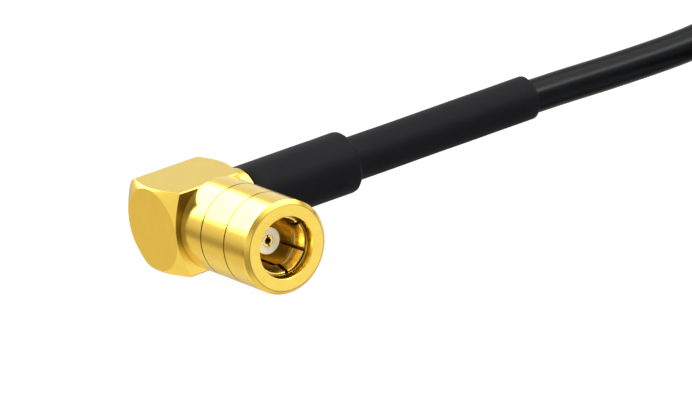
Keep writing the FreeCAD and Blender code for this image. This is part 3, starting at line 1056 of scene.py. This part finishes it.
class JUMPER_OT_shrink_sleeves(bpy.types.Operator):
    """Make the stepped black shrink sleeves"""

    bl_idname = "jumper.shrink_sleeves"
    bl_label = "Shrink sleeves"

    def execute(self, context):
        size = sizes(context)
        black = material_of("shrink_black", shrink_black, context.scene.jumper_finish)
        start = size.block_head + size.collar_length
        ferrule_end = start + size.ferrule_length
        large = size.ferrule_radius + size.shrink_wall
        small = size.cable_radius + size.shrink_thin_wall
        step, end = size.shrink_step, size.shrink_end
        run = [(large, start + RING_GAP * index) for index in range(1, 9)]
        thin = [(small, step + RING_GAP * index) for index in range(2, 18)]
        corners = [
            (size.ferrule_radius, start),
            (large, start, 0.12),
            *run,
            (large, step, 0.35),
            (small, step + 0.12, 0.1),
            *thin,
            (small, end, 0.1),
            (size.cable_radius, end),
            (size.cable_radius, ferrule_end + 0.8),
            (size.ferrule_radius, ferrule_end),
        ]
        for prefix, plug in both_plugs(context):
            shape = turned(corners, steps=96)
            bmesh.ops.transform(shape, matrix=along_cable(size), verts=shape.verts[:])
            axis = cable_x(size)
            for vert in shape.verts:
                out = Vector((vert.co.x - axis, 0.0, vert.co.z))
                if out.length > size.ferrule_radius + 0.05 or (
                    vert.co.y > step and out.length > size.cable_radius + 0.1
                ):
                    wave = noise.noise(Vector((vert.co.x, vert.co.y * 0.55, vert.co.z)) * 0.5)
                    vert.co += out.normalized() * (DENT * wave - DENT_OFFSET)
            piece(
                prefix + "sleeve", shape, plug, prefix + "shrink_sleeve", black
            )
        return {"FINISHED"}


class JUMPER_OT_inner_pieces(bpy.types.Operator):
    """Finish the hidden pieces of the crimp, which keep their own solids"""

    bl_idname = "jumper.inner_pieces"
    bl_label = "Inner pieces"

    def execute(self, context):
        colours = context.scene.jumper_finish
        finishes = {
            "crimp_ferrule": plain_metal(
                "gold_ferrule", colours.gold, colours.gold_deep, 0.25, 900.0
            ),
            "cable_braid": tinned_braid(colours),
            "cable_dielectric": white_plastic("white_core", colours.insulator),
            "cable_wire": plain_metal(
                "copper_wire", colours.copper,
                tuple(0.8 * channel for channel in colours.copper), 0.3, 1500.0,
            ),
        }
        for prefix in ("", "far_"):
            for name, material in finishes.items():
                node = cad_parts[prefix + name]
                node.data.materials.clear()
                node.data.materials.append(material)
        return {"FINISHED"}


class JUMPER_OT_cable(bpy.types.Operator):
    """Make the black cable with its put-away coil"""

    bl_idname = "jumper.cable"
    bl_label = "Cable"

    def execute(self, context):
        size = sizes(context)
        points = cable_route(size)[0]
        line = bpy.data.curves.new("cable", "CURVE")
        line.dimensions = "3D"
        line.bevel_depth = size.cable_radius * MM
        line.bevel_resolution = 10
        line.resolution_u = 10
        line.use_fill_caps = True
        spline = line.splines.new("NURBS")
        spline.points.add(len(points) - 1)
        for point, place in zip(spline.points, points):
            point.co = (*(place * MM), 1.0)
        spline.order_u = 3
        spline.use_endpoint_u = True
        spline.use_smooth = True
        line.materials.append(material_of("cable_black", cable_black, context.scene.jumper_finish))
        cable = bpy.data.objects.new("cable", line)
        context.scene.collection.objects.link(cable)
        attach(cable, "root")
        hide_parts("cable_lead", "cable_coil", "cable_tail")
        return {"FINISHED"}


# Stage

CARDS = (
    # direction, angle of the even middle, angle of the edge, level
    ((0.80, -0.30, 0.50), 16.0, 27.0, (0.10, 0.09, 0.08)),
    ((0.60, -0.70, -0.40), 14.0, 32.0, (0.42, 0.42, 0.42)),
    ((0.04, 0.92, 0.40), 5.0, 15.0, (0.15, 0.15, 0.15)),
    ((0.15, 0.45, -0.88), 12.0, 24.0, (0.25, 0.25, 0.25)),
    ((0.15, 0.55, 0.82), 20.0, 34.0, (4.3, 4.3, 4.3)),
    ((-0.80, -0.145, 0.58), 18.0, 32.0, (7.5, 7.5, 7.5)),
    ((0.58, 0.50, 0.64), 3.0, 10.0, (34.0, 34.0, 34.0)),
)
# Light round the circle of directions that the barrel's side sends to the camera
CARD_RING = (
    (0.000, (0.85, 0.88, 0.85)), (0.055, (0.80, 0.86, 0.92)), (0.125, (0.76, 0.78, 0.80)),
    (0.175, (0.90, 0.90, 0.90)), (0.440, (0.97, 0.97, 0.97)), (0.460, (0.95, 0.97, 0.97)),
    (0.503, (0.72, 0.66, 0.58)), (0.530, (0.42, 0.36, 0.26)), (0.547, (0.33, 0.28, 0.16)),
    (0.567, (0.50, 0.45, 0.30)), (0.590, (0.82, 0.75, 0.54)), (0.640, (0.88, 0.84, 0.60)),
    (0.682, (0.96, 0.94, 0.70)), (0.725, (0.96, 0.92, 0.60)), (0.770, (0.84, 0.80, 0.50)),
    (0.814, (0.66, 0.62, 0.44)), (0.858, (0.60, 0.56, 0.44)), (0.930, (0.80, 0.80, 0.80)),
)


def paint_studio_light():
    """Bright cards and dim gaps round the object, as soft areas of the world."""
    world = bpy.data.worlds.new("studio_light")
    world.use_nodes = True
    world.node_tree.nodes.clear()
    bpy.context.scene.world = world
    start = Shade(world.node_tree)
    way = start.node("ShaderNodeTexCoord", None, None, output="Generated")
    ahead, across, up = along(way, (1.0, 0.0, 0.0)), along(way, ASIDE), along(way, UP)
    turn = start.node("ShaderNodeMath", {"operation": "ARCTAN2"}, {0: up, 1: across})
    round_place = start.node("ShaderNodeMath", {"operation": "FRACT"}, {0: turn / FULL + 1.0})
    ring = start.node("ShaderNodeValToRGB", {"stops": CARD_RING}, {0: round_place})
    front = blend(smooth(ahead, 0.3, 0.7), (0.95, 0.95, 0.95, 1.0), (1.02, 1.08, 1.25, 1.0))
    light = blend(smooth(up, 0.50, 0.85), front, (1.2, 1.2, 1.2, 1.0))
    light = blend(smooth(ahead, -0.25, -0.55), light, ring)
    for direction, inner, outer, level in CARDS:
        near = smooth(
            along(way, tuple(Vector(direction).normalized())),
            math.cos(math.radians(outer)), math.cos(math.radians(inner)),
        )
        light = blend(near, light, four(level))
    light = start.node("ShaderNodeBackground", None, {"Color": light})
    start.node("ShaderNodeOutputWorld", None, {"Surface": light})


FLOOR_HALF = 2.0
FLOOR_GAP = 0.00002
SENSOR = 36.0


class JUMPER_OT_stage(bpy.types.Operator):
    """Make the floor, the light of the studio and the camera"""

    bl_idname = "jumper.stage"
    bl_label = "Stage"

    def execute(self, context):
        shape = bmesh.new()
        bmesh.ops.create_grid(shape, x_segments=8, y_segments=8, size=FLOOR_HALF)
        bmesh.ops.translate(shape, vec=(0.0, 0.0, FLOOR - FLOOR_GAP), verts=shape.verts[:])
        floor = stand_in("floor", shape)
        floor.data.materials.append(studio_floor())
        floor.visible_glossy = False
        paint_studio_light()
        studio = context.scene.jumper_studio
        lens = bpy.data.cameras.new("photo_camera")
        lens.sensor_width = SENSOR
        lens.lens = studio.lens
        lens.clip_start = 0.01
        lens.clip_end = 20.0
        camera = bpy.data.objects.new("photo_camera", lens)
        context.scene.collection.objects.link(camera)
        turn = (
            Matrix.Rotation(studio.azimuth, 4, "Z")
            @ Matrix.Rotation(math.pi / 2 - studio.elevation, 4, "X")
            @ Matrix.Rotation(studio.roll, 4, "Z")
        )
        place = turn @ Vector((studio.aside, studio.above, studio.distance))
        camera.matrix_world = Matrix.Translation(place) @ turn
        context.scene.camera = camera
        context.scene.view_settings.view_transform = "Standard"
        return {"FINISHED"}


# Add-on


OPERATORS = (
    JUMPER_OT_blocks,
    JUMPER_OT_caps,
    JUMPER_OT_barrels,
    JUMPER_OT_spring_sleeves,
    JUMPER_OT_insulators,
    JUMPER_OT_contacts,
    JUMPER_OT_shrink_sleeves,
    JUMPER_OT_inner_pieces,
    JUMPER_OT_cable,
    JUMPER_OT_stage,
)


class JUMPER_PT_sidebar(bpy.types.Panel):
    """The pieces of the jumper, and its sizes and colours"""

    bl_idname = "JUMPER_PT_sidebar"
    bl_label = "Coaxial jumper"
    bl_space_type = "VIEW_3D"
    bl_region_type = "UI"
    bl_category = "Jumper"

    def draw(self, context):
        for operator in OPERATORS:
            self.layout.operator(operator.bl_idname)
        for name, group in GROUPS.items():
            box = self.layout.box()
            for field in group.__annotations__:
                box.prop(getattr(context.scene, name), field)


def register():
    for group in GROUPS.values():
        bpy.utils.register_class(group)
    for name, group in GROUPS.items():
        setattr(bpy.types.Scene, name, bpy.props.PointerProperty(type=group))
    for operator in OPERATORS:
        bpy.utils.register_class(operator)
    bpy.utils.register_class(JUMPER_PT_sidebar)


def unregister():
    bpy.utils.unregister_class(JUMPER_PT_sidebar)
    for operator in reversed(OPERATORS):
        bpy.utils.unregister_class(operator)
    for name in GROUPS:
        delattr(bpy.types.Scene, name)
    for group in reversed(GROUPS.values()):
        bpy.utils.unregister_class(group)


def main():
    register()
    for operator in OPERATORS:
        family, verb = operator.bl_idname.split(".")
        getattr(getattr(bpy.ops, family), verb)()


if __name__ == "__main__":
    main()
